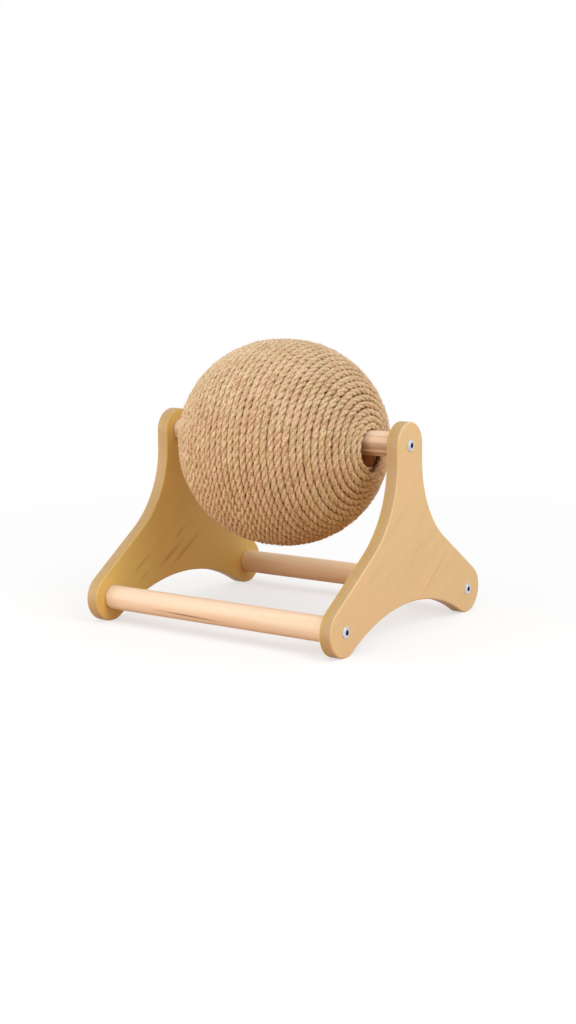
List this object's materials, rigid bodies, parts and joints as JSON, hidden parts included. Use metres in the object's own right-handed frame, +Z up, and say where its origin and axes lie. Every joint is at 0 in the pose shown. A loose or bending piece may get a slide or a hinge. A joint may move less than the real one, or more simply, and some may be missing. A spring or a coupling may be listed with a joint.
{
  "type": "cat scratching ball",
  "caption": "Rope-wound ball that spins and slides on a wooden axle between two flared side panels; a free-standing scratcher for cats.",
  "frame": {"origin": "on the floor, under the middle of the stand", "axes": "+X along the axle to the right, +Y from front to back, +Z up"},
  "size_m": [0.2454, 0.226, 0.2309],
  "materials": {
    "panel_board": "satin",
    "dowel_wood": "satin",
    "zinc_screw": "satin",
    "tube_cardboard": "matte",
    "core_plastic": "matte",
    "sisal_rope": "matte"
  },
  "bodies": {
    "frame": {"left_side_panel": "panel_board", "right_side_panel": "panel_board", "axle_dowel": "dowel_wood", "front_spreader_dowel": "dowel_wood", "rear_spreader_dowel": "dowel_wood", "axle_screw_left": "zinc_screw", "axle_screw_right": "zinc_screw", "front_screw_left": "zinc_screw", "front_screw_right": "zinc_screw", "rear_screw_left": "zinc_screw", "rear_screw_right": "zinc_screw"},
    "carriage": {"bore_tube": "tube_cardboard"},
    "ball": {"core_half_left": "core_plastic", "core_half_right": "core_plastic", "sisal_rope_left": "sisal_rope", "sisal_rope_right": "sisal_rope"}
  },
  "joints": [
    {"name": "ball_slide", "type": "slide", "parent": "frame", "child": "carriage", "axis": [1, 0, 0], "range_m": [-0.024, 0.024]},
    {"name": "ball_spin", "type": "hinge", "parent": "carriage", "child": "ball", "pos_m": [0, 0, 0.1459], "axis": [1, 0, 0], "continuous": true}
  ]
}
